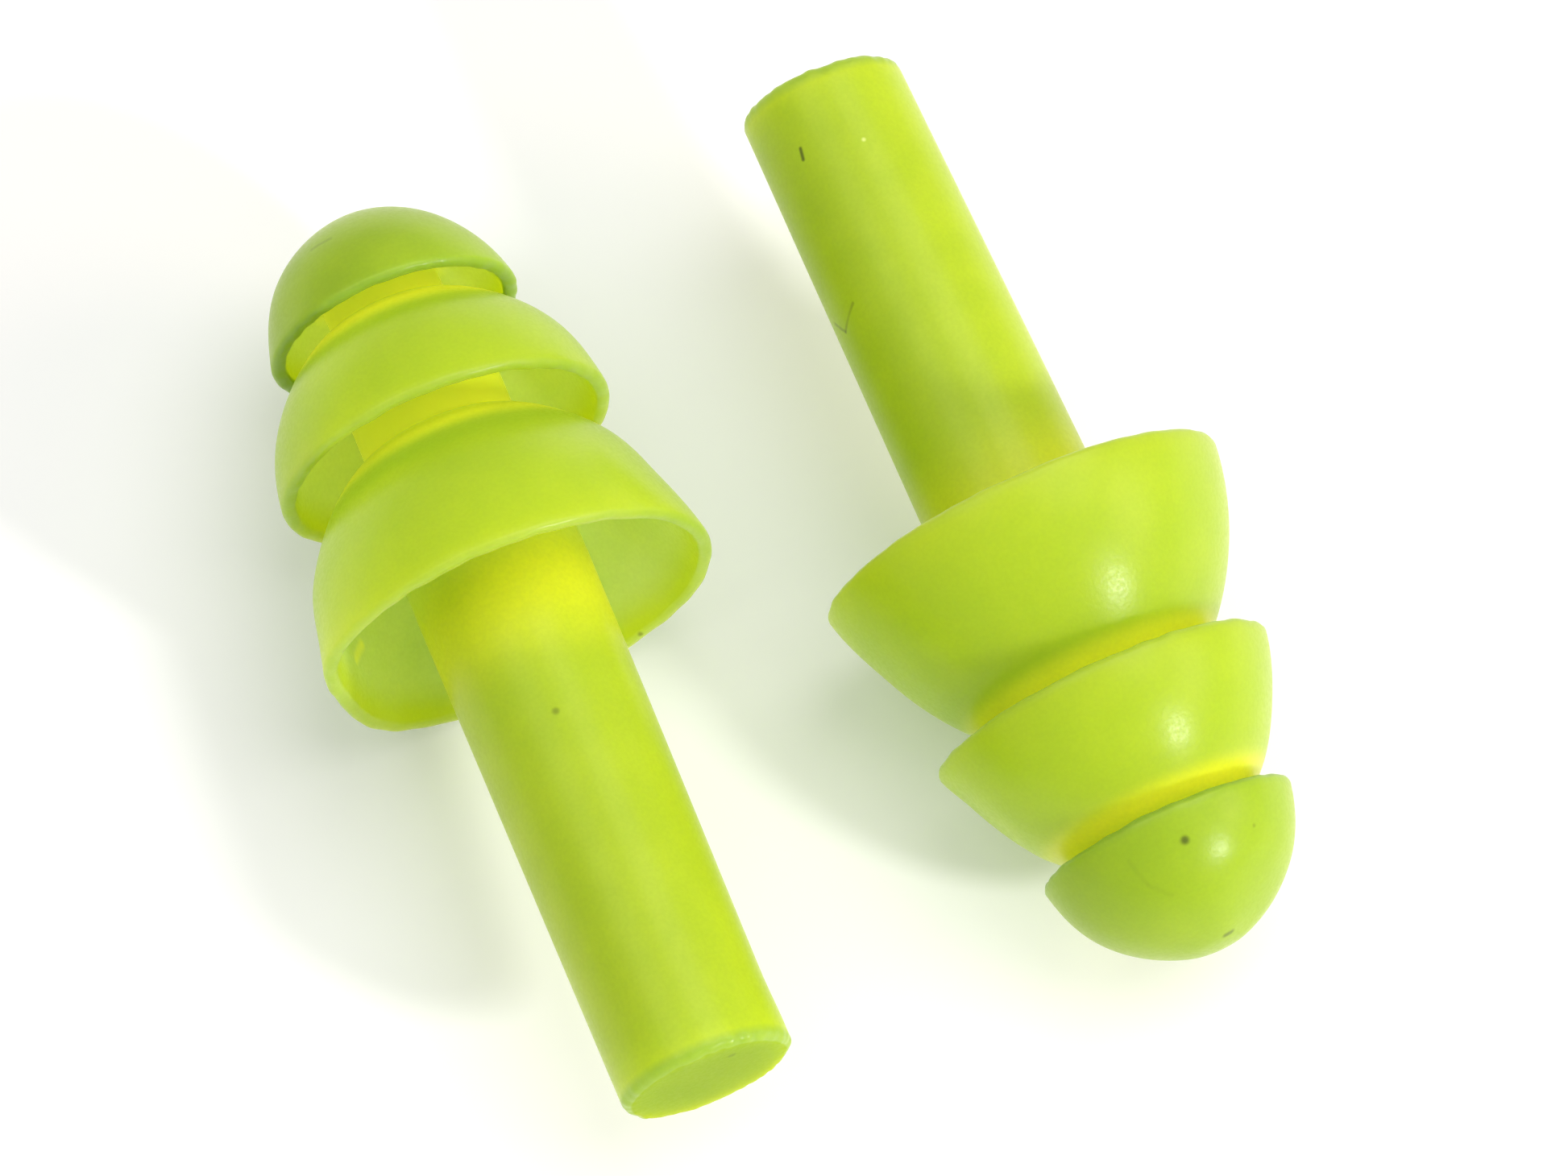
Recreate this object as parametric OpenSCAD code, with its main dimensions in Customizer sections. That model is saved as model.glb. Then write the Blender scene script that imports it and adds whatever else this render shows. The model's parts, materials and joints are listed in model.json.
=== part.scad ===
// Pair of reusable ear plugs, each moulded in one soft elastomer: a tapered stem that
// is held between finger and thumb, and a core that carries three hollow flanges, each
// smaller than the one behind it. The flanges are bells that open towards the stem.
//
// Every solid is turned about its plug's own axis. Heights along that axis are counted
// from the rim of the large flange: positive towards the tip, negative down the stem.
// The pair lies on a table, head to tail, with the origin under its middle.

/* [Large flange] */
// Diameter over the rim of the large flange
large_rim_d = 12.5; // [12.1:0.1:13.4]
// Height of the large bell, from its rim to where it meets the core
large_h = 6.1; // [5.9:0.1:6.3]
// Depth of the hollow under the large flange
large_hollow = 4.3; // [3.6:0.1:4.6]

/* [Middle flange] */
// Diameter over the rim of the middle flange
middle_rim_d = 10.5; // [10.2:0.1:10.8]
// Distance of the middle rim ahead of the large rim
middle_rim_s = 5.8; // [5.7:0.1:6.2]
// Height of the middle bell, from its rim to where it meets the core
middle_h = 4.7; // [4.5:0.1:4.8]
// Depth of the hollow under the middle flange
middle_hollow = 3.2; // [2.9:0.1:3.4]

/* [Tip flange] */
// Diameter over the rim of the tip flange
tip_rim_d = 7.95; // [7.8:0.05:8.2]
// Distance of the tip rim ahead of the large rim
tip_rim_s = 10.25; // [10.15:0.05:10.9]
// Height of the tip dome, from its rim to the end of the plug
tip_h = 3.9; // [3.6:0.05:4.3]
// Depth of the hollow under the tip flange
tip_hollow = 2; // [1.7:0.1:2.1]

/* [Skirts] */
// Thickness of a skirt behind its rim
skirt_t = 0.46; // [0.42:0.02:0.56]
// Radius of the rounding on a rim
lip_r = 0.2; // [0.12:0.01:0.2]

/* [Core and stem] */
// Diameter of the core between the large and the middle flange
rear_neck_d = 4.8; // [4.4:0.1:5]
// Diameter of the core between the middle and the tip flange
front_neck_d = 3.7; // [3.4:0.1:3.8]
// Diameter of the stem where it enters the large flange
stem_root_d = 5.5; // [5.1:0.1:5.7]
// Diameter of the stem at its free end
stem_end_d = 5.15; // [4.8:0.05:5.3]
// Length of the stem, from its free end to the plane of the large rim
stem_l = 15.25; // [12:0.25:17]
// Rounding of the edge round the stem's end face
stem_edge_r = 0.3; // [0.2:0.05:0.5]

/* [Lying pair] */
// Distance between the two plugs' axes
pair_gap = 15.2; // [14.6:0.1:20]
// How far each large rim lies ahead of the middle of the pair, towards its own tip
pair_offset = 1.4; // [0:0.1:3]
// Dip of each plug's axis towards its tip, in degrees
tip_dip = 2.8; // [0:0.2:4]
// How far each plug is turned on the table, its tip towards +X, in degrees
tip_turn = 0.9; // [0:0.1:3]

/* [Hidden] */
$fn = 96;

// points along one curved wall, and along one rounded corner
CURVE_STEPS = 12;
CORNER_STEPS = 4;

// the stem ends this far inside the large hollow, where its flexible root takes over
stem_inner_s = 1;
// radii of the fillets between the floor of each hollow and the core through it
large_fillet = 0.8;
middle_fillet = 0.6;
tip_fillet = 0.4;

large_r = large_rim_d / 2;
middle_r = middle_rim_d / 2;
tip_r = tip_rim_d / 2;
rear_neck_r = rear_neck_d / 2;
front_neck_r = front_neck_d / 2;
stem_root_r = stem_root_d / 2;
stem_end_r = stem_end_d / 2;

// faces where one region of the moulding goes over into the next
root_front_s = large_hollow - large_fillet;
rear_neck_front_s = middle_rim_s + middle_hollow - middle_fillet;
front_neck_front_s = tip_rim_s + tip_hollow - tip_fillet;
large_crown_s = large_h;
middle_crown_s = middle_rim_s + middle_h;

// the lowest point of a lying plug is on the rounding of its large rim
axis_z = (large_r - lip_r) * cos(tip_dip) + lip_r * sin(tip_dip) + lip_r;

// cubic curve through p[0] and p[3], pulled towards p[1] and p[2]
function curve_point(p, t) =
  pow(1 - t, 3) * p[0] + 3 * pow(1 - t, 2) * t * p[1]
  + 3 * (1 - t) * t * t * p[2] + pow(t, 3) * p[3];

function curve(p, steps = CURVE_STEPS) = [for (i = [0 : steps]) curve_point(p, i / steps)];

// points on an arc about c, from angle a to angle b
function arc(c, r, a, b, steps = CORNER_STEPS) =
  [for (i = [0 : steps]) c + r * [cos(a + (b - a) * i / steps), sin(a + (b - a) * i / steps)]];

// the rounded lip of a rim of radius r, from its inner edge round to its outer edge
function lip(r) = concat(
  arc([r - skirt_t + lip_r, lip_r], lip_r, 180, 270),
  arc([r - lip_r, lip_r], lip_r, 270, 360)
);

// Outer wall of a bell: nearly straight behind the rim, round at the shoulder, and flat
// where its crown meets the core. r is the rim, core the core's radius, h the bell's
// height. lean is how far the skirt closes in, as a share of r, by the height lift * h,
// and spread is how much of the way from the core to the rim the flat crown reaches for.
function bell_outside(r, core, h, lean, lift, spread) = curve([
  [r, lip_r],
  [r - lean * r, lift * h],
  [core + spread * (r - core), h],
  [core, h]
]);

// Wall of the hollow, from the fillet on the core over the floor and down to the rim.
// The skirt gets thicker towards the floor. lean closes the hollow in, as above.
function hollow_wall(r, core, depth, fillet, lean) = concat(
  arc([core + fillet, depth - fillet], fillet, 180, 90),
  curve([
    [core + fillet, depth],
    [core + 0.36 * (r - core), depth],
    [r - skirt_t - lean * r, 0.7 * depth],
    [r - skirt_t, lip_r]
  ])
);

module large_bell_section()
  polygon(concat(
    [[0, large_hollow - large_fillet]],
    hollow_wall(large_r, stem_root_r, large_hollow, large_fillet, 0.14),
    lip(large_r),
    bell_outside(large_r, rear_neck_r, large_h, 0.085, 0.593, 0.26),
    [[0, large_h]]
  ));

module middle_bell_section()
  polygon(concat(
    [[0, middle_hollow - middle_fillet]],
    hollow_wall(middle_r, rear_neck_r, middle_hollow, middle_fillet, 0.14),
    lip(middle_r),
    bell_outside(middle_r, front_neck_r, middle_h, 0.074, 0.56, 0.34),
    [[0, middle_h]]
  ));

// The tip flange's crown is a closed round nose
module nose_section()
  polygon(concat(
    [[0, tip_hollow - tip_fillet]],
    hollow_wall(tip_r, front_neck_r, tip_hollow, tip_fillet, 0.11),
    lip(tip_r),
    curve([[tip_r, lip_r], [0.82 * tip_r, 0.9 * tip_h], [0.05 * tip_r, tip_h], [0, tip_h]])
  ));

module stem_solid()
  rotate_extrude()
  polygon(concat(
    [[0, -stem_l]],
    arc([stem_end_r - stem_edge_r, -stem_l + stem_edge_r], stem_edge_r, 270, 360),
    [[stem_root_r, stem_inner_s], [0, stem_inner_s]]
  ));

module core_solid(r, from_s, to_s)
  translate([0, 0, from_s])
  cylinder(r = r, h = to_s - from_s);

module large_flange_solid()
  rotate_extrude()
  large_bell_section();

module middle_flange_solid()
  translate([0, 0, middle_rim_s])
  rotate_extrude()
  middle_bell_section();

module tip_flange_solid()
  translate([0, 0, tip_rim_s])
  rotate_extrude()
  nose_section();

// Lays a plug down on its side, dipping a little, with its tip towards +Y
module lie_down()
  rotate([-90 - tip_dip, 0, 0])
  children();

module lay_left()
  translate([-pair_gap / 2, pair_offset, axis_z])
  rotate([0, 0, -tip_turn])
  lie_down()
  children();

// The right plug lies head to tail with the left one, its tip towards -Y
module lay_right()
  translate([pair_gap / 2, -pair_offset, axis_z])
  rotate([0, 0, 180 + tip_turn])
  lie_down()
  children();

module stem() color([0.72, 0.83, 0.25]) stem_solid();
module stem_root() color([0.60, 0.74, 0.18]) core_solid(stem_root_r, stem_inner_s, root_front_s);
module large_flange() color([0.78, 0.88, 0.28]) large_flange_solid();
module rear_neck() color([0.60, 0.74, 0.18]) core_solid(rear_neck_r, large_crown_s, rear_neck_front_s);
module middle_flange() color([0.76, 0.87, 0.26]) middle_flange_solid();
module front_neck() color([0.60, 0.74, 0.18]) core_solid(front_neck_r, middle_crown_s, front_neck_front_s);
module tip_flange() color([0.80, 0.90, 0.32]) tip_flange_solid();

module left_stem() lay_left() stem();
module left_stem_root() lay_left() stem_root();
module left_large_flange() lay_left() large_flange();
module left_rear_neck() lay_left() rear_neck();
module left_middle_flange() lay_left() middle_flange();
module left_front_neck() lay_left() front_neck();
module left_tip_flange() lay_left() tip_flange();

module right_stem() lay_right() stem();
module right_stem_root() lay_right() stem_root();
module right_large_flange() lay_right() large_flange();
module right_rear_neck() lay_right() rear_neck();
module right_middle_flange() lay_right() middle_flange();
module right_front_neck() lay_right() front_neck();
module right_tip_flange() lay_right() tip_flange();

left_stem();
left_stem_root();
left_large_flange();
left_rear_neck();
left_middle_flange();
left_front_neck();
left_tip_flange();
right_stem();
right_stem_root();
right_large_flange();
right_rear_neck();
right_middle_flange();
right_front_neck();
right_tip_flange();
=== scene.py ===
# %% [markdown]
# # A pair of flanged ear plugs
# Two soft plugs lie head to tail on a pale table. Each is one moulding in a translucent,
# fluorescent yellow-green elastomer: a tapered stem, and a core with three thin bells
# that open towards the stem. Every shape is a solid of revolution, so each piece below
# is a profile that is turned about its plug's axis with numpy.
#
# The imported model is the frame. It says where each plug lies, how thick its core is and
# where each rim is. Nothing here moves it.

# %% Load the frame
import json
import math

import bpy
import numpy as np
from mathutils import Matrix, Vector


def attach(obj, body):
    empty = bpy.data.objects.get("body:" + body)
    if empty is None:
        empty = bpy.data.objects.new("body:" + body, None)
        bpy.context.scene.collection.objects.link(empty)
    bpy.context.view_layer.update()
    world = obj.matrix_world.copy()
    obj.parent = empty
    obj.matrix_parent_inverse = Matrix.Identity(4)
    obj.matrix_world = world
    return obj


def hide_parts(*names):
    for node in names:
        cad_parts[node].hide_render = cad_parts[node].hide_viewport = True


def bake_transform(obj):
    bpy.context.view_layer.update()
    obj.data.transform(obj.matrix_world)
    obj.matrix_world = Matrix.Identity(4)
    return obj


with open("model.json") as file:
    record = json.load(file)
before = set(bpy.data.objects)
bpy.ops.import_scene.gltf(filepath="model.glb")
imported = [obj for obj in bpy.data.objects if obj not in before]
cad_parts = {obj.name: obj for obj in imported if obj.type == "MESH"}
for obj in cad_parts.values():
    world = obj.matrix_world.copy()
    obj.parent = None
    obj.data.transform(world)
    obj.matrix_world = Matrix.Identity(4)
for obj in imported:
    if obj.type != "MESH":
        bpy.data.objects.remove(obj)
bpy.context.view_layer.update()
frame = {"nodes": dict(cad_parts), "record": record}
MM = 0.001

# %% [markdown]
# ## Where each plug lies
# The flat end of each stem is a mount in the model's record, with its centre and its
# outward direction. The plug's axis runs from there towards the tip. Stations along the
# axis are counted from that face, in millimetres, because parts a few millimetres across
# are easier to think about that way. Angles round the axis are counted from the side
# that faces away from the other plug's stem end, upwards.

# %% Axis and measures of a plug
mounts = {m["name"]: m for m in frame["record"]["mounts"]}


def unit(v):
    """The vector v at length 1."""
    return np.asarray(v, float) / np.linalg.norm(v)


def plug_axis(side):
    """The plug's start point, its direction towards the tip, and two directions square to it."""
    push_face = mounts[side + "_push_face"]
    along = -unit(push_face["axis"])
    across = unit(np.cross(along, (0, 0, 1)))
    upward = np.cross(across, along)
    return np.array(push_face["pos_m"]), along, across, upward


def measure(side, region):
    """Lowest and highest station along the axis, and largest radius, of one region, in mm."""
    start, along, _, _ = plug_axis(side)
    mesh = frame["nodes"][f"{side}_{region}"].data
    points = np.empty(len(mesh.vertices) * 3)
    mesh.vertices.foreach_get("co", points)
    offset = points.reshape(-1, 3) - start
    station = offset @ along
    radius = np.linalg.norm(offset - station[:, None] * along, axis=1)
    return station.min() / MM, station.max() / MM, radius.max() / MM


REGIONS = ("stem", "stem_root", "large_flange", "rear_neck", "middle_flange", "front_neck", "tip_flange")
size = {region: measure("left", region) for region in REGIONS}
for region, (low, high, radius) in size.items():
    print(f"{region}: {low:.2f} to {high:.2f} mm along the axis, radius {radius:.2f} mm")

# %% [markdown]
# ## Profiles
# A profile is a list of points (radius, station). Straight stretches are evenly spaced
# points, rounded edges are arcs, and the walls of the bells are cubic curves: a start, an
# end, and two points that pull the curve between them. The same outline could be drawn by
# hand and spun. Written as formulas it stays exact, and each piece meets the next one
# without a gap.

# %% Arcs and curves
def cubic(p0, p1, p2, p3, n=44):
    """Cubic curve: (1-t)^3 p0 + 3(1-t)^2 t p1 + 3(1-t) t^2 p2 + t^3 p3, for t from 0 to 1."""
    t = np.linspace(0, 1, n)[:, None]
    a, b, c, d = (np.array(p, float) for p in (p0, p1, p2, p3))
    return (1 - t) ** 3 * a + 3 * (1 - t) ** 2 * t * b + 3 * (1 - t) * t**2 * c + t**3 * d


def arc(centre, radius, start, end, n=9):
    """Points at centre + radius * (cos a, sin a), for a from start to end in degrees."""
    a = np.radians(np.linspace(start, end, n))[:, None]
    return np.array(centre, float) + radius * np.hstack([np.cos(a), np.sin(a)])


def straight(p0, p1, n=30):
    """Evenly spaced points from p0 to p1."""
    return np.linspace(p0, p1, n)


def join(*stretches):
    """One profile from several stretches, with repeated points left out."""
    points = np.vstack([np.atleast_2d(s) for s in stretches])
    step = np.linalg.norm(np.diff(points, axis=0), axis=1)
    return points[np.append(True, step > 1e-6)]


# %% [markdown]
# ## The bells
# Each bell has a nearly straight skirt behind its rim, a round shoulder, and a flat crown
# where it meets the core. The hollow follows the outside, so the skirt is thinnest at the
# rim and gets thicker towards the floor. The rim is rounded almost to a full round, as
# soft mouldings are, because a sharp edge would tear and would scratch.

# %% Walls of a bell
SKIRT_T = 0.46
LIP_R = 0.2


def bell_outside(rim_s, crown_s, rim_r, core_r, lean, lift, spread):
    """Outer wall from the rim to the core: a cubic whose two pulling points lie at
    rim_r * (1 - lean), at lift times the height, and at core_r + spread * (rim_r - core_r),
    at the full height."""
    h = crown_s - rim_s
    return cubic(
        (rim_r, rim_s + LIP_R),
        (rim_r * (1 - lean), rim_s + lift * h),
        (core_r + spread * (rim_r - core_r), crown_s),
        (core_r, crown_s),
    )


def hollow_wall(rim_s, floor_s, rim_r, core_r, fillet, lean):
    """Wall of the hollow: a fillet off the core, then a cubic over the floor and down to the rim."""
    depth = floor_s - rim_s
    return join(
        arc((core_r + fillet, floor_s - fillet), fillet, 180, 90),
        cubic(
            (core_r + fillet, floor_s),
            (core_r + 0.36 * (rim_r - core_r), floor_s),
            (rim_r - SKIRT_T - lean * rim_r, rim_s + 0.7 * depth),
            (rim_r - SKIRT_T, rim_s + LIP_R),
        ),
    )


def lip(rim_s, rim_r):
    """The rounded edge of a skirt: a quarter turn, a short flat, and a quarter turn."""
    return join(
        arc((rim_r - SKIRT_T + LIP_R, rim_s + LIP_R), LIP_R, 180, 270),
        arc((rim_r - LIP_R, rim_s + LIP_R), LIP_R, 270, 360),
    )


# %% [markdown]
# ## Four pieces to a plug
# The real plug is one moulding. Here it is four pieces, one for each body of the model:
# the stem with its root, and each bell with the neck in front of it.
# They meet on flat faces deep inside the hollows, where nothing shows. Each profile runs
# from the axis, over the back, round the rim and over the outside to the axis again.

# %% Profiles of the pieces
LARGE_FILLET, MIDDLE_FILLET, TIP_FILLET = 0.8, 0.6, 0.4
STEM_TAPER, STEM_EDGE_R = 0.175, 0.3

stem_in_s, root_s = size["stem"][1], size["stem_root"][1]
rear_end, front_end = size["rear_neck"][1], size["front_neck"][1]
large_s, large_top, large_r = size["large_flange"]
middle_s, middle_top, middle_r = size["middle_flange"]
tip_s, tip_top, tip_r = size["tip_flange"]
stem_r, rear_r, front_r = size["stem_root"][2], size["rear_neck"][2], size["front_neck"][2]
stem_end_r = stem_r - STEM_TAPER
nose_h = tip_top - tip_s

stem_profile = join(
    straight((0, 0), (stem_end_r - STEM_EDGE_R, 0), 12),
    arc((stem_end_r - STEM_EDGE_R, STEM_EDGE_R), STEM_EDGE_R, 270, 360),
    straight((stem_end_r, STEM_EDGE_R), (stem_r, stem_in_s), 96),
    straight((stem_r, stem_in_s), (stem_r, root_s), 14),
    straight((stem_r, root_s), (0, root_s), 4),
)
large_profile = join(
    straight((0, root_s), (stem_r, root_s), 4),
    hollow_wall(large_s, root_s + LARGE_FILLET, large_r, stem_r, LARGE_FILLET, 0.14),
    lip(large_s, large_r),
    bell_outside(large_s, large_top, large_r, rear_r, 0.085, 0.593, 0.26),
    straight((rear_r, large_top), (rear_r, rear_end), 14),
    straight((rear_r, rear_end), (0, rear_end), 4),
)
middle_profile = join(
    straight((0, rear_end), (rear_r, rear_end), 4),
    hollow_wall(middle_s, rear_end + MIDDLE_FILLET, middle_r, rear_r, MIDDLE_FILLET, 0.14),
    lip(middle_s, middle_r),
    bell_outside(middle_s, middle_top, middle_r, front_r, 0.074, 0.56, 0.34),
    straight((front_r, middle_top), (front_r, front_end), 12),
    straight((front_r, front_end), (0, front_end), 4),
)
tip_profile = join(
    straight((0, front_end), (front_r, front_end), 4),
    hollow_wall(tip_s, front_end + TIP_FILLET, tip_r, front_r, TIP_FILLET, 0.11),
    lip(tip_s, tip_r),
    cubic(
        (tip_r, tip_s + LIP_R),
        (0.82 * tip_r, tip_s + 0.9 * nose_h),
        (0.05 * tip_r, tip_top),
        (0, tip_top),
        60,
    ),
)
for name, profile in (("stem", stem_profile), ("large", large_profile),
                      ("middle", middle_profile), ("tip", tip_profile)):
    print(f"{name}: {len(profile)} profile points")

# %% [markdown]
# ## Soft mouldings aren't quite round
# A thin skirt lies a little out of round once it has been out of its mould for a while:
# pressed in where it leans on something, swollen where the wall is thicker. Each line
# below is one such place. A sculpting brush would do it by eye. A sum of smooth humps does
# the same, is easy to read, and moves both walls of a skirt together, so that it keeps
# its thickness. The core is left as it is, so the pieces still meet.

# %% Humps and ripples
def hump(x):
    """cos^2 of a quarter turn times x: 1 at x = 0, and 0 from |x| = 1."""
    return np.cos(0.5 * np.pi * np.clip(x, -1, 1)) ** 2


def smooth(x, low, high):
    """0 below low, 1 above high, and 3t^2 - 2t^3 between."""
    t = np.clip((x - low) / (high - low), 0, 1)
    return t * t * (3 - 2 * t)


def ripple(angle, seed, waves=range(3, 40), size=0.006):
    """A ragged line round a rim, in mm: cosines of the angle, with random phases."""
    phase = np.random.default_rng(seed).uniform(0, 2 * np.pi, len(waves))
    return size * sum(np.cos(k * angle + p) / k**0.3 for k, p in zip(waves, phase))


# angle and its reach in degrees, station and its reach in mm, amounts outwards and along in mm
OUT_OF_ROUND = {
    "left_stem": [(10, 60, 0.5, 2.0, 0.06, 0)],
    "left_large_bell": [
        (193, 40, 16.0, 2.6, -0.44, 0),
        (222, 50, 15.2, 2.5, 0, -0.20),
        (20, 40, 17.0, 2.5, -0.07, 0),
        (18, 45, 19.4, 2.0, 0.13, 0),
        (325, 45, 15.2, 2.4, 0.13, 0),
    ],
    "left_middle_bell": [(191, 60, 23.2, 2.5, 0.12, 0), (11, 60, 23.6, 2.4, 0.16, 0)],
    "left_tip_bell": [(160, 110, 28.0, 2.0, 0.15, 0), (90, 720, 29.4, 2.4, 0, 0.13)],
    "right_stem": [],
    "right_large_bell": [
        (349, 45, 15.0, 3.0, 0.22, 0),
        (169, 45, 17.0, 4.5, 0.06, 0),
    ],
    "right_middle_bell": [
        (349, 40, 21.0, 1.3, 0.18, 0),
        (349, 50, 23.4, 2.6, -0.12, 0),
        (349, 40, 25.3, 0.8, -0.12, 0),
        (169, 40, 23.2, 2.2, -0.08, 0),
    ],
    "right_tip_bell": [(349, 60, 27.6, 2.2, 0.08, 0), (135, 55, 28.7, 1.4, -0.22, 0)],
}
# how far the free end of each stem is cut off square: angle of its longest side, and mm
SKEW = {"left": (10, 0.0), "right": (340, 0.12)}
# how much the very end of a nose is blunted, in mm
NOSE_BLUNT = 0.08


def out_of_round(name, side, angle, radius, station):
    """Changes in radius and in station, in mm, of every point of a piece. A point moves
    outwards by the sum of its humps, in full where it is 1 mm or more outside the core,
    and the last 3 mm of a stem lean by its skew."""
    if name == "stem":
        soft = 1.0 - smooth(station, 3, 6)
    else:
        soft = smooth(radius, front_r if name == "tip_bell" else rear_r, 3.6)
    if name == "tip_bell":
        soft = np.maximum(soft, smooth(station, tip_s + 1.2, tip_s + 1.8) * smooth(radius, 0, 1.2))
    outward, along = 0 * station, 0 * station
    if name == "tip_bell":
        along = -NOSE_BLUNT * (1 - smooth(radius, 0, 1)) * (station > tip_s + 2)
    for at, reach, s, s_reach, out, onward in OUT_OF_ROUND[f"{side}_{name}"]:
        place = hump(((np.degrees(angle) - at + 180) % 360 - 180) / reach) * hump((station - s) / s_reach)
        outward = outward + out * place * soft
        along = along + onward * place
    if name == "stem":
        at, amount = SKEW[side]
        along = along - amount * radius / stem_r * np.cos(angle - np.radians(at)) * (1 - smooth(station, 0, 3))
    return outward, along


# %% [markdown]
# ## Turning a profile
# The profile's points make the rows of a grid and the angles make its columns. One
# broadcast gives every vertex, and index arithmetic gives every face. The two ends lie on
# the axis, so each is one vertex with a fan of triangles, and the piece is closed.

# %% Surface of revolution
AROUND = 240


def turned_faces(rows, columns):
    """Quads between neighbouring rows, and a fan of triangles at each pole, facing outwards."""
    row, column = np.meshgrid(np.arange(rows - 1), np.arange(columns), indexing="ij")
    after = (column + 1) % columns
    quads = np.stack([row * columns + column, (row + 1) * columns + column,
                      (row + 1) * columns + after, row * columns + after], -1)
    ring = np.arange(columns)
    first, last = rows * columns, rows * columns + 1
    end = (rows - 1) * columns
    start_fan = np.stack([np.full(columns, first), ring, (ring + 1) % columns], -1)
    end_fan = np.stack([np.full(columns, last), end + (ring + 1) % columns, end + ring], -1)
    return quads.reshape(-1, 4), np.vstack([start_fan, end_fan])


def turned_piece(name, side, profile, marks, ragged):
    """Each profile point (r, s) is carried round the axis: start + s * along
    + r * (cos a * across + sin a * upward), for the angles a of one full turn, after r
    and s are changed by the humps and by the ragged line of its rim."""
    start, along, across, upward = plug_axis(side)
    body = profile[1:-1]
    angle = np.linspace(0, 2 * np.pi, AROUND, endpoint=False)
    radius, station = (np.repeat(c[:, None], AROUND, 1) for c in body.T)
    turn = np.repeat(angle[None, :], len(body), 0)
    outward, lean = out_of_round(name, side, turn, radius, station)
    rim = marks["edge"][1:-1, None]
    radius = radius + outward + rim * ripple(turn, ragged)
    station = station + lean + rim * ripple(turn, ragged + 1)
    spoke = np.cos(turn)[..., None] * across + np.sin(turn)[..., None] * upward
    grid = start + station[..., None] * MM * along + radius[..., None] * MM * spoke
    poles = grid[[0, -1]].mean(axis=1)
    quads, fans = turned_faces(len(body), AROUND)

    mesh = bpy.data.meshes.new(f"{side}_{name}")
    mesh.from_pydata(np.vstack([grid.reshape(-1, 3), poles]).tolist(), [], quads.tolist() + fans.tolist())
    mesh.polygons.foreach_set("use_smooth", np.ones(len(mesh.polygons), bool))
    for mark, value in marks.items():
        whole = np.append(np.repeat(value[1:-1], AROUND), value[[0, -1]])
        mesh.attributes.new(mark, "FLOAT", "POINT").data.foreach_set("value", whole)
    mesh.update()
    piece = bpy.data.objects.new(f"{side}_{name}_skin", mesh)
    bpy.context.scene.collection.objects.link(piece)
    print(f"{piece.name}: {len(quads) * 2 + len(fans)} triangles")
    return piece, grid


# %% [markdown]
# ## What the finish needs to know
# Light behaves differently in the thick core than in a thin skirt, and a hollow shows
# another colour than the outside, because light comes through its skirt. Each point of a
# profile therefore carries five marks from 0 to 1: how thick the material is, which also
# sets how much painted yellow light it gets; how far inside a hollow it lies, which paints
# light and a weak glow into the hollow; how near it is to an edge, which paints shade along
# the rims and round the stem's end; how much painted glow it gets; and whether it is on the
# cut end of the stem, which is rougher and painted darker as shade. The material reads them
# as attributes stored on the mesh.

# %% Marks along a profile
def near(profile, edge_r, edge_s, close, far):
    """1 within close of an edge and 0 from far away, in mm."""
    return 1 - smooth(np.hypot(profile[:, 0] - edge_r, profile[:, 1] - edge_s), close, far)


def stem_marks(profile):
    """The stem gets more painted yellow light towards the hollow, and its end is cut, with painted shade on the
    end face and round its edge.
    """
    r, s = profile.T
    return {
        "thick_and_painted_light": 0.14 + 0.66 * smooth(s, large_s - 3.2, large_s + 0.5),
        "inside": smooth(s, large_s + 0.5, large_s + 3),
        "edge": near(profile, stem_end_r - 0.1, 0.1, 0.12, 0.4),
        "glow": 0 * s,
        "cut": (s < 0.02).astype(float),
    }


def bell_marks(profile, rim_s, rim_r, core_r, next_rim_s, next_r):
    """Thick, with painted yellow light and a painted glow, at the core in the hollow; outside, painted yellow
    light where the crown goes under the next rim, and a painted glow there and on the neck. The hollow gets
    painted light and the rim painted shade.
    """
    r, s = profile.T
    inner = np.arange(len(s)) <= np.argmin(np.hypot(r - (rim_r - SKIRT_T), s - rim_s - LIP_R))
    neck = 1 - smooth(r, next_r + 0.2, next_r + 1.0)
    core = 1 - smooth(r, core_r + 0.05, core_r + 0.8)
    crown = smooth(s, next_rim_s - 1.05, next_rim_s - 0.35)
    return {
        "thick_and_painted_light": np.where(inner, core, crown),
        "inside": np.where(inner, smooth(s, rim_s + 0.2, rim_s + 1.4), 0),
        "edge": near(profile, rim_r - 0.5 * SKIRT_T, rim_s, 0.15, 0.4),
        "glow": np.where(inner, core, 0.45 * smooth(s, next_rim_s - 1.4, next_rim_s - 0.6) + 0.55 * neck),
        "cut": 0 * s,
    }


def tip_marks(profile):
    """As on a bell in the hollow, and outside a little thicker than a skirt, with a little painted yellow light.
    """
    marks = bell_marks(profile, tip_s, tip_r, front_r, math.inf, -2)
    outer = smooth(profile[:, 1], tip_s + 0.6, tip_s + 2) * (marks["inside"] == 0)
    marks["thick_and_painted_light"] = np.maximum(marks["thick_and_painted_light"], 0.36 * outer)
    return marks


# %% Make both plugs
PIECES = {
    "stem": (stem_profile, stem_marks(stem_profile), ("stem", "stem_root")),
    "large_bell": (large_profile, bell_marks(large_profile, large_s, large_r, stem_r, middle_s, rear_r),
                   ("large_flange", "rear_neck")),
    "middle_bell": (middle_profile, bell_marks(middle_profile, middle_s, middle_r, rear_r, tip_s, front_r),
                    ("middle_flange", "front_neck")),
    "tip_bell": (tip_profile, tip_marks(tip_profile),
                 ("tip_flange",)),
}
plugs, grids = {}, {}
for number, side in enumerate(("left", "right")):
    for order, (name, (profile, marks, _)) in enumerate(PIECES.items()):
        plugs[side, name], grids[side, name] = turned_piece(
            name, side, profile, marks, ragged=100 * number + 10 * order)
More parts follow.
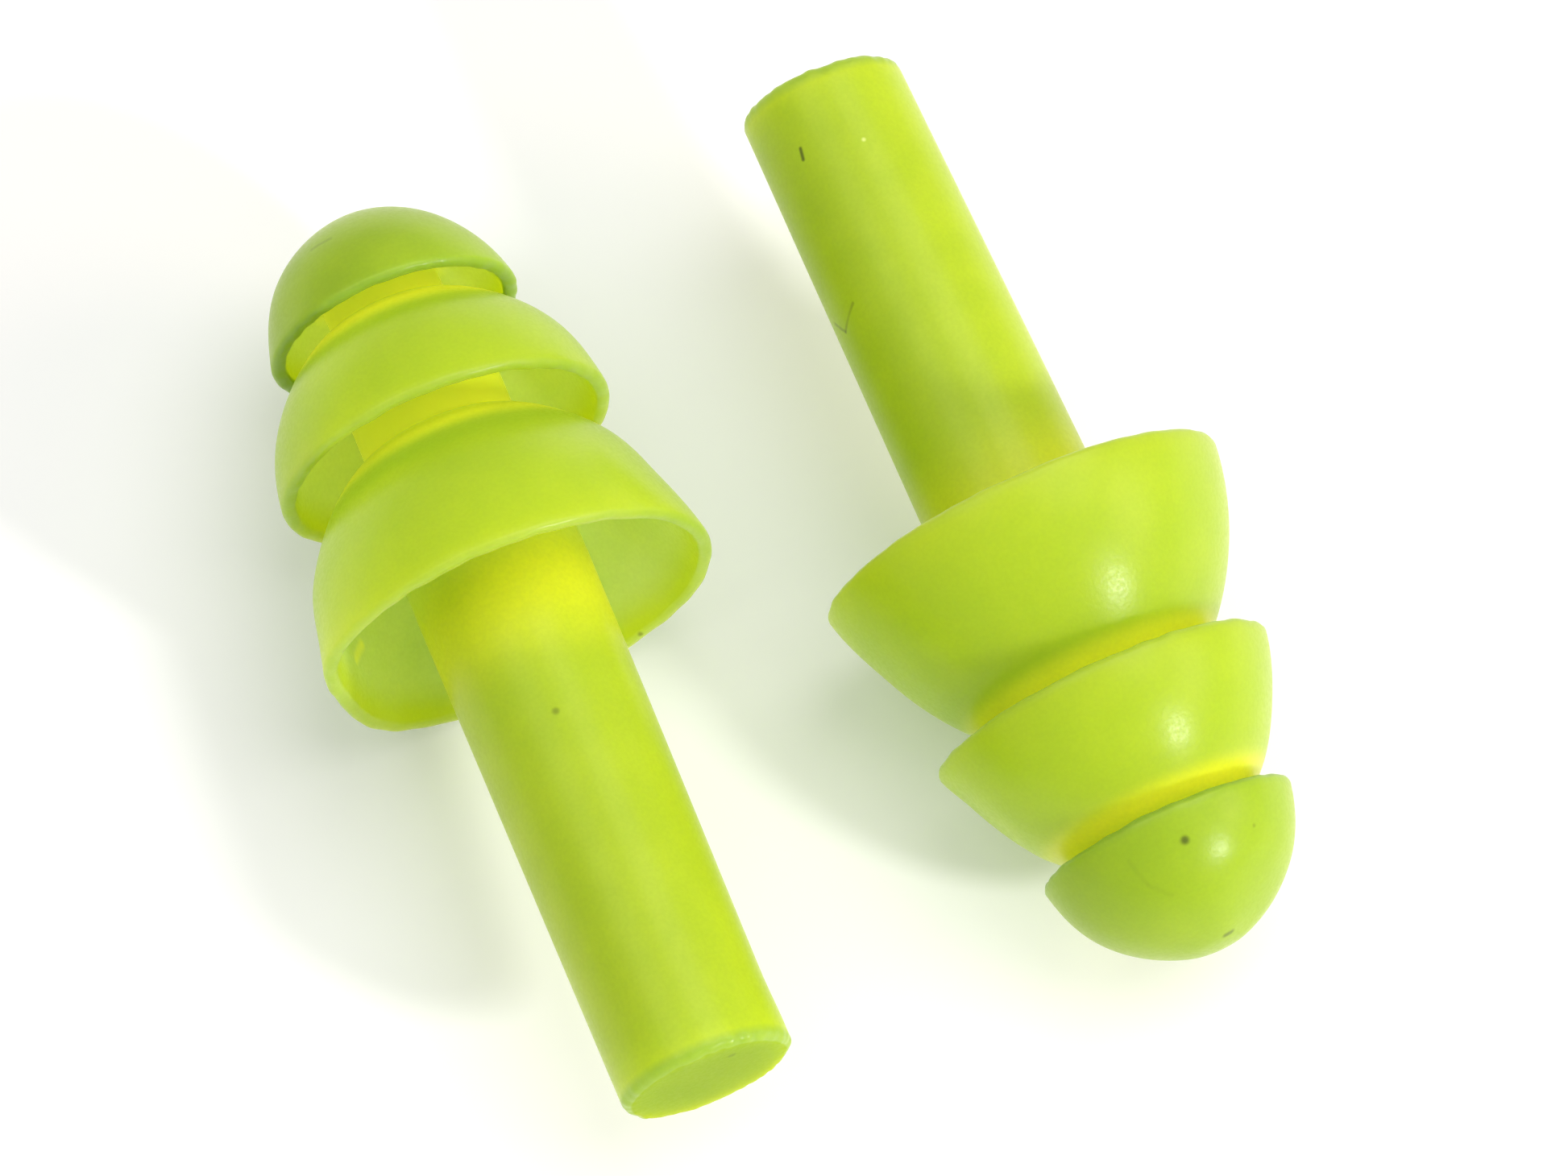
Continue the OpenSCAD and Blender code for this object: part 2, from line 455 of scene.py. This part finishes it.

# %% [markdown]
# ## The elastomer
# The real material is a clear rubber filled with fluorescent pigment. Light goes in,
# scatters and comes out elsewhere, so thin skirts let it through and look green.
# Subsurface scattering does that. How far the light travels follows the thickness: it
# crosses a skirt and stays near the surface of the core. The yellow of the core is painted
# light: where light gathers in the core, in the hollows, under the next rim and in the tip,
# a bright yellow is mixed into the colour, and the hollows, cores and necks get a weak
# emission, a painted glow. The hollows are painted lighter, and the rims and the stem's cut
# end are painted shade. Two kinds of noise keep the colour alive: clouds of pigment a
# millimetre or two across, and the fine grain that the mould leaves, which also breaks up
# the gloss.

# %% Node helpers
class Recipe:
    """A Principled material and short ways to add nodes to it."""

    def __init__(self, name):
        self.material = bpy.data.materials.new(name)
        self.material.use_nodes = True
        self.tree = self.material.node_tree
        self.shader = self.tree.nodes["Principled BSDF"]

    def feed(self, socket, value):
        """Links a socket to another, or sets it to a plain value or colour."""
        if isinstance(value, bpy.types.NodeSocket):
            self.tree.links.new(value, socket)
        else:
            socket.default_value = (*value, 1) if isinstance(value, tuple) and len(value) == 3 else value

    def node(self, kind, output, **inputs):
        """Adds a node, sets its inputs by name, and returns one output."""
        made = self.tree.nodes.new(kind)
        for name, value in inputs.items():
            self.feed(made.inputs[name.replace("_", " ")], value)
        return made.outputs[output]

    def mark(self, name):
        """A mark stored on the mesh."""
        made = self.tree.nodes.new("ShaderNodeAttribute")
        made.attribute_name = name
        return made.outputs["Fac"]

    def mix(self, factor, low, high, blend="MIX"):
        """Blends two colours."""
        made = self.tree.nodes.new("ShaderNodeMix")
        made.data_type = "RGBA"
        made.blend_type = blend
        colours = [i for i in made.inputs if i.type == "RGBA"]
        self.feed(made.inputs["Factor"], factor)
        self.feed(colours[0], low)
        self.feed(colours[1], high)
        return [o for o in made.outputs if o.type == "RGBA"][0]

    def span(self, value, low, high, out_low, out_high):
        """Maps value from low..high smoothly to out_low..out_high."""
        made = self.tree.nodes.new("ShaderNodeMapRange")
        made.interpolation_type = "SMOOTHSTEP"
        for name, v in (("Value", value), ("From Min", low), ("From Max", high),
                        ("To Min", out_low), ("To Max", out_high)):
            self.feed(made.inputs[name], v)
        return made.outputs["Result"]

    def vector(self, operation, a, b=None):
        """Arithmetic on one or two vectors, or on a vector and a scale."""
        made = self.tree.nodes.new("ShaderNodeVectorMath")
        made.operation = operation
        for socket, value in ((made.inputs[0], a), (made.inputs["Scale" if operation == "SCALE" else 1], b)):
            if isinstance(value, tuple):
                socket.default_value = value
            elif value is not None:
                self.feed(socket, value)
        return made.outputs["Value" if operation in ("DISTANCE", "DOT_PRODUCT", "LENGTH") else "Vector"]

    def sum(self, a, b, operation="ADD", held=False):
        """Arithmetic on two values. With held, the result stays between 0 and 1."""
        made = self.tree.nodes.new("ShaderNodeMath")
        made.operation = operation
        made.use_clamp = held
        self.feed(made.inputs[0], a)
        self.feed(made.inputs[1], b)
        return made.outputs["Value"]


# %% Colours and depths
# The second colour below is painted light: a bright yellow for where light gathers in the core, in the valleys
# under the next rim and in the tip.
BODY, PAINTED_LIGHT_YELLOW = (0.390, 0.560, 0.024), (0.93, 0.93, 0.030)
# The first colour below is painted light: a lighter, paler green for the hollows, where light comes through the
# skirts.
# The second colour below is painted shade along each rim and round the stem's end, which tones down the bright
# line of the thin edge.
HOLLOW_PAINTED_LIGHT, RIM_PAINTED_SHADE = (0.48, 0.65, 0.16), (0.30, 0.46, 0.05)
# Painted shade: the stem's cut end face is made darker, where the lamps light it strongly.
END_FACE_PAINTED_SHADE = (0.28, 0.42, 0.006)
# Both glows are painted light: a weak emission in the hollows, and on the cores, in the valleys under the rims
# and on the necks.
HOLLOW_GLOW, CORE_GLOW = (0.012, 0.035, 0.020), (0.20, 0.19, 0.012)
SKIRT_SCATTER, CORE_SCATTER = 4.0 * MM, 0.5 * MM


def clouds(recipe, place, size_mm, detail=3.0):
    """Noise whose patches are about size_mm across."""
    return recipe.node("ShaderNodeTexNoise", "Fac", Vector=place, Scale=1 / (size_mm * MM), Detail=detail)


def elastomer(name, specks):
    """The fluorescent elastomer, with painted light and shade from the marks, and the specks that one plug has
    picked up, one of them a line of painted light.
    """
    m = Recipe(name)
    place = m.node("ShaderNodeTexCoord", "Object")
    thick_and_painted_light, edge, cut = m.mark("thick_and_painted_light"), m.mark("edge"), m.mark("cut")

    # Painted light: a lighter colour in the hollows, where light comes through the skirts.
    colour = m.mix(m.mark("inside"), BODY, HOLLOW_PAINTED_LIGHT)
    # Painted light: bright yellow where light gathers in the core, under the next rim and in the tip.
    colour = m.mix(thick_and_painted_light, colour, PAINTED_LIGHT_YELLOW)
    # Painted shade along each rim and round the stem's end.
    colour = m.mix(edge, colour, RIM_PAINTED_SHADE)
    # Painted shade on the stem's cut end face.
    colour = m.mix(cut, colour, END_FACE_PAINTED_SHADE)
    pigment = m.span(clouds(m, place, 1.8), 0.3, 0.7, 0.0, 1.0)
    colour = m.mix(pigment, m.mix(1.0, colour, (0.93, 0.95, 0.90), "MULTIPLY"), colour)
    grain = clouds(m, place, 0.13, 2.0)
    colour = m.mix(m.span(grain, 0.25, 0.75, 0.0, 0.07), colour, (0.10, 0.20, 0.01))
    for speck in specks:
        colour = speck(m, place, colour)
    m.feed(m.shader.inputs["Base Color"], colour)
    # Painted glow: a weak emission in the hollows, and on the cores, the valleys under the rims and the necks.
    light = m.mix(m.mark("inside"), (0, 0, 0), HOLLOW_GLOW)
    m.feed(m.shader.inputs["Emission Color"], m.mix(m.mark("glow"), light, CORE_GLOW))
    m.shader.inputs["Emission Strength"].default_value = 1.0

    wave = clouds(m, place, 2.6, 1.0)
    relief = m.sum(m.sum(wave, 6.0, "MULTIPLY"), grain)
    bump = m.node("ShaderNodeBump", "Normal", Height=relief, Distance=0.004 * MM, Strength=1.0)
    m.feed(m.shader.inputs["Normal"], bump)
    rough = m.sum(m.span(grain, 0.3, 0.7, 0.28, 0.36), m.sum(cut, 0.35, "MULTIPLY"))
    m.feed(m.shader.inputs["Roughness"], rough)

    m.shader.inputs["IOR"].default_value = 1.43
    m.shader.inputs["Specular IOR Level"].default_value = 0.33
    m.shader.inputs["Subsurface Weight"].default_value = 1.0
    m.shader.inputs["Subsurface Radius"].default_value = (1.0, 0.9, 0.3)
    m.feed(m.shader.inputs["Subsurface Scale"], m.span(thick_and_painted_light, 0, 1, SKIRT_SCATTER, CORE_SCATTER))
    return m.material


# %% [markdown]
# ## Specks, and one line of painted light
# The tacky surface picks up dust: dark specks, a lint loop, a smudge. Small flecks could
# be modelled, but they lie in the skin more than on it, so they are spots in its colour.
# Each has a centre on the surface, and darkens what is within its size of that centre. A
# few more come from Voronoi cells, of which only one in several holds a speck. One bright
# yellow line inside the left plug's large rim is painted light, for a thin mould flash that
# lets light through.

# %% Specks, dust and a line of painted light
DIRT, PALE = (0.05, 0.07, 0.012), (0.85, 0.90, 0.35)
# The colour below is painted light: a bright yellow line where a thin mould flash on the left large rim lets
# light through.
FLASH_PAINTED_LIGHT = (0.85, 0.92, 0.03)


def skin_point(side, name, station, degrees, radius):
    """The point of a piece's skin nearest to this station, angle and radius."""
    row = np.argmin(np.hypot(*(PIECES[name][0][1:-1] - (radius, station)).T))
    return tuple(grids[side, name][row, round(degrees / 360 * AROUND) % AROUND])


def spot(centre, size_mm, strength=0.8, tint=DIRT):
    """A soft round spot: full inside 0.15 of its size and gone at its size."""
    def paint(m, place, colour):
        away = m.vector("DISTANCE", place, centre)
        inside = m.span(away, 0.15 * size_mm * MM, size_mm * MM, strength, 0.0)
        return m.mix(inside, colour, tint)
    return paint


def streak(points, width_mm, strength=0.8, tint=DIRT):
    """A soft thin line from point to point. Along each stretch, t is how far along it the
    place lies, held between 0 and 1, and the tint fades with the distance from there."""
    def paint(m, place, colour):
        for here, there in zip(points, points[1:]):
            run = np.subtract(there, here)
            offset = m.vector("SUBTRACT", place, here)
            t = m.sum(m.vector("DOT_PRODUCT", offset, tuple(run)), 1 / (run @ run), "MULTIPLY", held=True)
            away = m.vector("LENGTH", m.vector("SUBTRACT", offset, m.vector("SCALE", tuple(run), t)))
            colour = m.mix(m.span(away, 0.1 * width_mm * MM, width_mm * MM, strength, 0.0), colour, tint)
        return colour
    return paint


def dust(m, place, colour):
    """Voronoi cells 2.4 mm across, with a fleck in the middle of the few that the colour picks."""
    cell = m.tree.nodes.new("ShaderNodeTexVoronoi")
    m.feed(cell.inputs["Vector"], place)
    cell.inputs["Scale"].default_value = 1 / (2.4 * MM)
    chosen = m.span(m.node("ShaderNodeSeparateColor", "Red", Color=cell.outputs["Color"]), 0.80, 0.82, 0.0, 0.5)
    fleck = m.span(cell.outputs["Distance"], 0.012, 0.03, 1.0, 0.0)
    return m.mix(m.sum(chosen, fleck, "MULTIPLY"), colour, DIRT)


# %% What each plug has picked up, and one line of painted light
def on_left(name, *place):
    """A point of the left plug's skin."""
    return skin_point("left", name, *place)


def on_right(name, *place):
    """A point of the right plug's skin."""
    return skin_point("right", name, *place)


SPECKS_AND_FLASH_LIGHT = {
    "left": [
        dust,
        spot(on_left("stem", 11.2, 98, 2.7), 0.17, 0.45),
        spot(on_left("stem", 0.0, 66, 1.6), 0.20, 0.30),
        streak([on_left("tip_bell", 27.8, 112, 3.0), on_left("tip_bell", 27.75, 124, 3.0)], 0.13, 0.22),
        spot(on_left("large_bell", 15.3, 312, 5.9), 0.14, 0.7),
        spot(on_left("large_bell", 15.3, 154, 5.9), 0.22, 0.25),
        # Painted light: a bright yellow line inside the large rim, for a thin mould flash.
        streak([on_left("large_bell", 17.3, 212, 5.0), on_left("large_bell", 16.7, 203, 5.2)], 0.28, 0.6, FLASH_PAINTED_LIGHT),
    ],
    "right": [
        dust,
        streak([on_right("stem", 2.15, 48, 2.6), on_right("stem", 2.55, 46, 2.6)], 0.10, 0.75),
        spot(on_right("stem", 2.8, 90, 2.6), 0.10, 0.6, PALE),
        streak([on_right("stem", 7.15, 4, 2.7), on_right("stem", 7.7, 15, 2.7),
                on_right("stem", 7.2, 34, 2.7)], 0.09, 0.38),
        spot(on_right("tip_bell", 26.7, 83, 3.7), 0.21, 0.75),
        spot(on_right("tip_bell", 26.9, 118, 3.6), 0.10, 0.3),
        streak([on_right("tip_bell", 26.5, 55, 3.7), on_right("tip_bell", 27.3, 57, 3.3),
                on_right("tip_bell", 27.8, 65, 3.0)], 0.12, 0.08),
        streak([on_right("tip_bell", 29.15, 96, 1.0), on_right("tip_bell", 29.12, 108, 1.05)], 0.17, 0.55),
    ],
}
for side in ("left", "right"):
    skin = elastomer(f"{side}_elastomer", SPECKS_AND_FLASH_LIGHT[side])
    for name in PIECES:
        plugs[side, name].data.materials.append(skin)
    print(f"{side} plug: {len(skin.node_tree.nodes)} nodes in its material")

# %% [markdown]
# ## Taking the place of the model's solids
# Each piece takes the place of the model's solids of the same region, which are hidden.
# The tip simply rides on its body. The others end in a neck or root that the next body
# bends, as the soft core really bends, but here they are not blended between the two
# bodies: their placement is only applied to their meshes.


for (side, name), piece in plugs.items():
    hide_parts(*(f"{side}_{region}" for region in PIECES[name][2]))
    if name == "tip_bell":
        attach(piece, f"{side}_nose")
    else:
        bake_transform(piece)

# %% [markdown]
# ## The camera
# The pair is seen from nearly overhead, from the side of the left plug's stem, with a
# long lens and a slight roll. The camera's axes are built from those angles, so that each
# of them can be changed on its own.

# %% Camera
AZIMUTH, ELEVATION, ROLL = 31.3, 69.1, -9.0
DISTANCE_MM, LENS_MM, SENSOR_MM = 158.3, 121.86, 36
LOOK_AT = Vector((0.18, -0.50, 6.25)) * MM


def make_camera():
    """Looks along (sin az cos el, cos az cos el, -sin el), rolled about that direction."""
    az, el, roll = (math.radians(v) for v in (AZIMUTH, ELEVATION, ROLL))
    forward = Vector((math.sin(az) * math.cos(el), math.cos(az) * math.cos(el), -math.sin(el)))
    level = Vector((math.cos(az), -math.sin(az), 0))
    right = math.cos(roll) * level + math.sin(roll) * forward.cross(level)
    up = right.cross(forward)
    data = bpy.data.cameras.new("camera")
    data.sensor_fit, data.sensor_width, data.lens = "HORIZONTAL", SENSOR_MM, LENS_MM
    data.clip_start, data.clip_end = 0.005, 20
    camera = bpy.data.objects.new("camera", data)
    turn = Matrix((right, up, -forward)).transposed()
    camera.matrix_world = Matrix.Translation(LOOK_AT - DISTANCE_MM * MM * forward) @ turn.to_4x4()
    bpy.context.scene.collection.objects.link(camera)
    bpy.context.scene.camera = camera
    return camera


print("camera at", [round(v / MM, 1) for v in make_camera().matrix_world.translation], "mm")

# %% [markdown]
# ## Table and light
# The table is a plain pale sheet that gives back a little light of its own, like a light
# table, so that the skirts are lit from below as well. A large soft box on the right gives
# the shading, a broad lamp overhead evens it out, and a small lamp gives the small bright
# highlights on the domes. The sky is plain white.

# %% Table
TABLE_M, TABLE_GLOW = 2.0, 0.15
corner = 0.5 * TABLE_M
sheet = bpy.data.meshes.new("table")
sheet.from_pydata([(-corner, -corner, 0), (corner, -corner, 0), (corner, corner, 0), (-corner, corner, 0)],
                  [], [(0, 1, 2, 3)])
table = bpy.data.objects.new("table", sheet)
bpy.context.scene.collection.objects.link(table)
paper = Recipe("pale_paper")
paper.shader.inputs["Base Color"].default_value = (0.90, 0.90, 0.90, 1)
paper.shader.inputs["Roughness"].default_value = 0.9
paper.shader.inputs["Emission Color"].default_value = (1, 1, 1, 1)
paper.shader.inputs["Emission Strength"].default_value = TABLE_GLOW
sheet.materials.append(paper.material)

# %% Lamps and sky
SIDE_W, TOP_W, FILL_W, LAMP_W, SKY = 0.30, 1.0, 0.32, 1.2, 0.43


def lamp(name, azimuth, elevation, distance, width, watts, colour):
    """A round area lamp in this direction from the pair, in degrees and metres, facing it."""
    a, e = math.radians(azimuth), math.radians(elevation)
    away = Vector((math.sin(a) * math.cos(e), math.cos(a) * math.cos(e), math.sin(e)))
    light = bpy.data.lights.new(name, "AREA")
    light.shape, light.size, light.energy, light.color = "DISK", width, watts, colour
    holder = bpy.data.objects.new(name, light)
    holder.location = distance * away
    holder.rotation_euler = away.to_track_quat("Z", "Y").to_euler()
    bpy.context.scene.collection.objects.link(holder)


lamp("soft_box", 114, 34, 0.40, 0.17, SIDE_W, (1, 0.76, 0.62))
lamp("overhead", 80, 72, 0.50, 0.40, TOP_W, (1, 0.98, 0.95))
lamp("fill", -70, 62, 0.45, 0.30, FILL_W, (0.97, 1, 0.95))
lamp("small_lamp", 148, 31, 0.50, 0.060, LAMP_W, (1, 0.97, 0.95))

sky = bpy.data.worlds.new("sky")
sky.use_nodes = True
sky.node_tree.nodes["Background"].inputs["Color"].default_value = (1, 1, 1, 1)
sky.node_tree.nodes["Background"].inputs["Strength"].default_value = SKY
bpy.context.scene.world = sky
bpy.context.scene.view_settings.view_transform = "Standard"
bpy.context.scene.cycles.diffuse_bounces = 12
bpy.context.scene.cycles.max_bounces = 16
